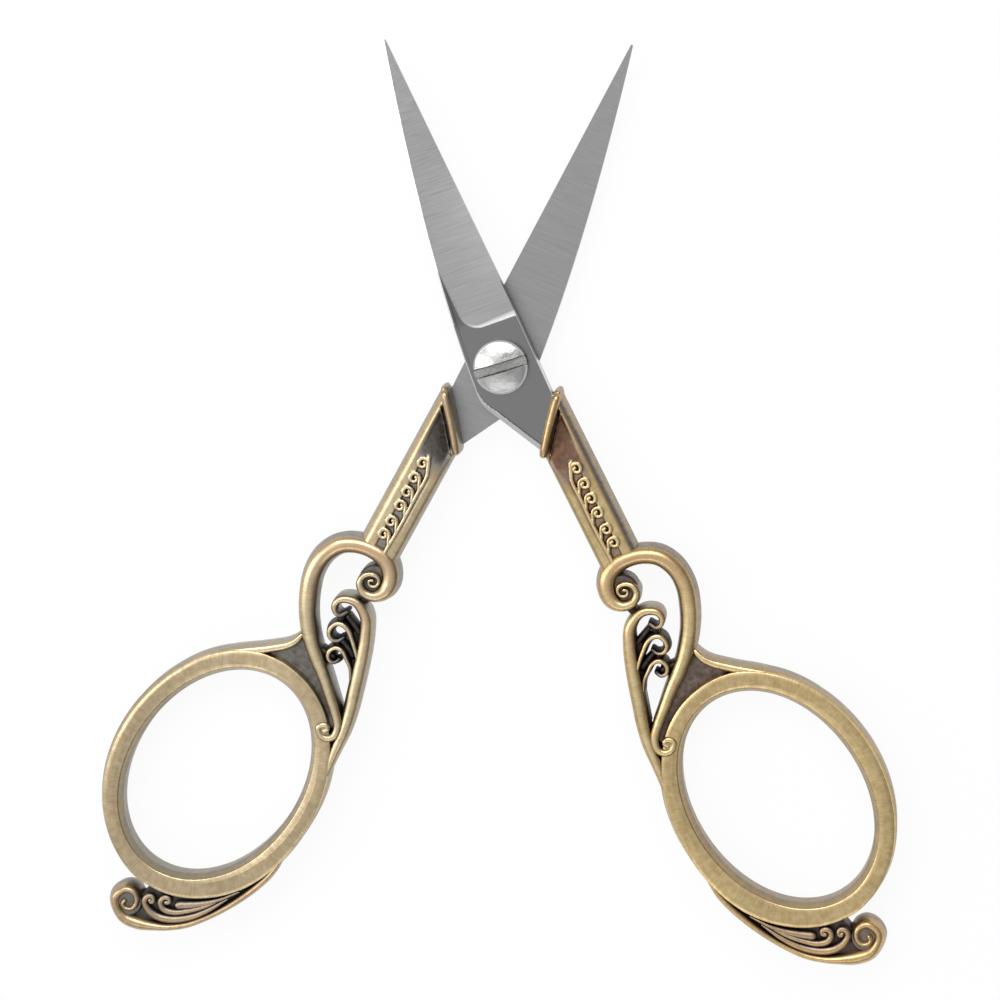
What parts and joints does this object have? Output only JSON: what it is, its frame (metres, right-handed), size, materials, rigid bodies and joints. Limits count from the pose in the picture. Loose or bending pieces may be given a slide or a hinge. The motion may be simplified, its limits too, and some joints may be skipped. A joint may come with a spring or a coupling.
{
  "type": "embroidery scissors",
  "caption": "Small pointed needlework scissors with ground steel blades on a slotted pivot screw and antique brass handles cast as scrolls, finger rings and tail leaves.",
  "frame": {"origin": "on the pivot axis, at the flat end of the screw, flush with the rear blade's outer face", "axes": "+Z along the pivot axis towards the screw's head, +Y midway between the tips, +X to the front handle's side"},
  "size_m": [0.0902, 0.102, 0.0057],
  "materials": {
    "blade_steel": "ground and brushed across, smooth at the pivot",
    "antique_brass": "antique brass plating, dark in the hollows, worn bright on the edges",
    "screw_nickel": "polished nickel plate"
  },
  "bodies": {
    "rear_half": {"rear_blade": "blade_steel", "rear_handle": "antique_brass", "pivot_screw": "screw_nickel"},
    "front_half": {"front_blade": "blade_steel", "front_handle": "antique_brass"}
  },
  "joints": [
    {"name": "pivot", "type": "hinge", "parent": "rear_half", "child": "front_half", "pos_m": [0, 0, 0.0017], "axis": [0, 0, 1], "range_deg": [-41.9, 45]}
  ]
}
